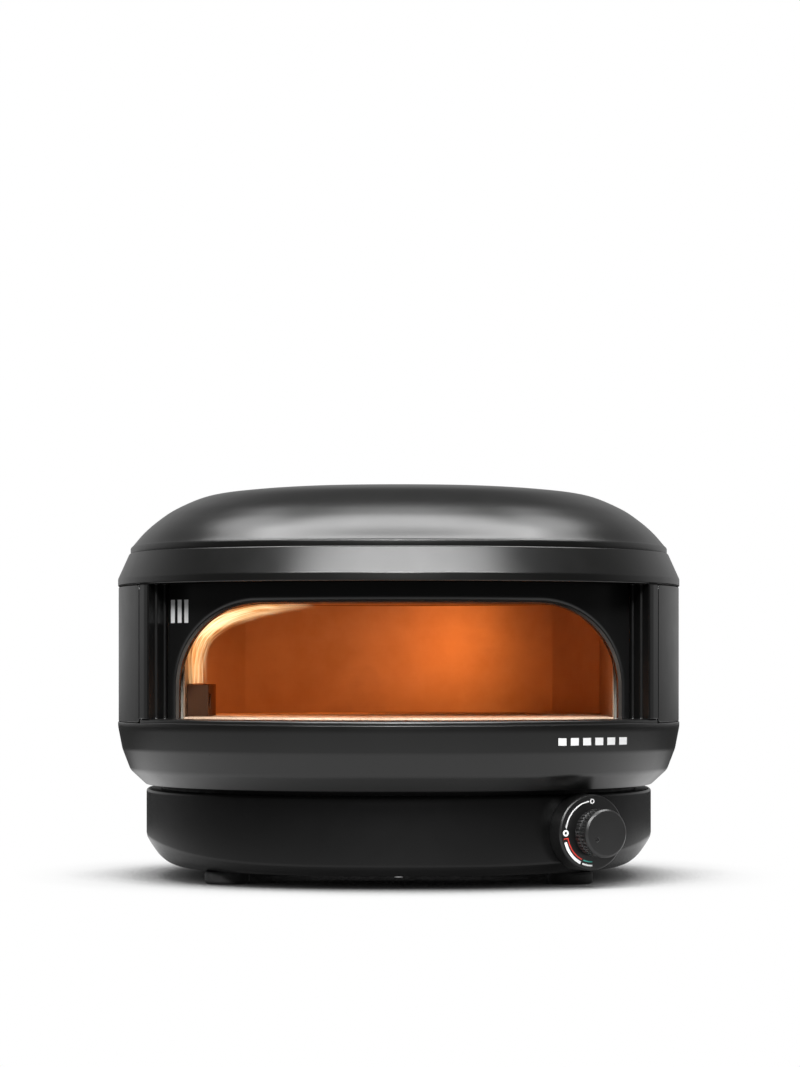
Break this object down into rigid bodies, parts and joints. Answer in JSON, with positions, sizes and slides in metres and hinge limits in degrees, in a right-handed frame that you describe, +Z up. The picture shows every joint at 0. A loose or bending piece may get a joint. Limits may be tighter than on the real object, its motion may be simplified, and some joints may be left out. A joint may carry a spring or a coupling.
{
  "type": "countertop pizza oven",
  "caption": "Low domed gas pizza oven with a wide arched mouth, stone floor, side burner, waisted base on feet and a push-and-turn control knob.",
  "frame": {"origin": "bottom centre of the bounding box, on the surface the feet stand on", "axes": "+X to the right as a user faces the mouth, +Y to the back along the longest side, +Z up; the mouth faces -Y"},
  "size_m": [0.48, 0.563, 0.331],
  "materials": {
    "powder_coat": "satin black powder coat with a fine texture",
    "frame_black": "smooth satin black paint",
    "fascia_black": "smooth satin black paint",
    "base_black": "satin black powder coat",
    "dark_steel": "matte black",
    "foot_rubber": "matte",
    "fastener_steel": "satin",
    "heat_steel": "satin, straw and brown heat tint",
    "chamber_steel": "satin, heat tinted",
    "fibre_gasket": "woven glass fibre",
    "insulation_wool": "soft ceramic fibre",
    "plain_steel": "galvanised",
    "shield_aluminium": "foil bright",
    "cordierite": "fine-grained, matte",
    "brass_fitting": "machined",
    "valve_alloy": "die cast",
    "pipe_alloy": "drawn tube",
    "spring_steel": "wire",
    "white_ceramic": "glazed",
    "black_plastic": "moulded",
    "silicone_lead": "silicone sleeve",
    "copper_lead": "copper",
    "boss_black": "smooth moulded",
    "print_white": "printed",
    "print_red": "printed",
    "print_green": "printed",
    "knob_black": "black anodised, satin"
  },
  "bodies": {
    "oven": {"dome_cover": "powder_coat", "shoulder_band": "powder_coat", "side_shell": "powder_coat", "front_frame": "frame_black", "fascia_panel": "fascia_black", "lower_skirt": "powder_coat", "sill_plate": "powder_coat", "neck_ring": "dark_steel", "base_housing": "base_black", "base_plate": "dark_steel", "foot_front_left": "foot_rubber", "foot_front_right": "foot_rubber", "foot_rear_left": "foot_rubber", "foot_rear_right": "foot_rubber", "foot_screws": "fastener_steel", "throat": "heat_steel", "mouth_gasket": "fibre_gasket", "chamber_front": "chamber_steel", "chamber_wall": "chamber_steel", "roof_liner": "chamber_steel", "roof_insulation": "insulation_wool", "wall_insulation": "insulation_wool", "floor_insulation": "insulation_wool", "stone_tray": "plain_steel", "heat_shield": "shield_aluminium", "floor_pan": "plain_steel", "body_posts": "plain_steel", "burner_box": "heat_steel", "burner_tube": "heat_steel", "venturi": "heat_steel", "injector": "brass_fitting", "supply_pipe": "pipe_alloy", "valve_body": "valve_alloy", "valve_bracket": "plain_steel", "valve_spring": "spring_steel", "inlet_pipe": "plain_steel", "inlet_fitting": "brass_fitting", "inlet_nut": "brass_fitting", "igniter_electrode": "white_ceramic", "igniter_bracket": "plain_steel", "piezo_unit": "black_plastic", "igniter_lead": "silicone_lead", "thermocouple": "copper_lead", "thermocouple_lead": "copper_lead", "dial_boss": "boss_black", "dial_marks_white": "print_white", "dial_marks_red": "print_red", "dial_marks_green": "print_green", "shell_screws": "fastener_steel", "skirt_screws": "fastener_steel", "base_screws": "fastener_steel"},
    "push": {"push_collar": "brass_fitting"},
    "knob": {"knob_cap": "knob_black", "knob_grip": "knob_black", "knob_insert": "brass_fitting", "valve_spindle": "brass_fitting"},
    "stone": {"pizza_stone": "cordierite"}
  },
  "joints": [
    {"name": "knob_push", "type": "slide", "parent": "oven", "child": "push", "axis": [-0.5, 0.866, 0], "range_m": [0, 0.003], "stiffness_N_per_m": 3000, "springref_m": -0.001, "deforming": ["valve_spring"]},
    {"name": "knob_turn", "type": "hinge", "parent": "push", "child": "knob", "pos_m": [0.156, -0.2075, 0.0444], "axis": [0.5, -0.866, 0], "range_deg": [-118, 62]},
    {"name": "stone_lift", "type": "slide", "parent": "oven", "child": "stone", "axis": [0, 0, 1], "range_m": [0, 0.025]}
  ]
}
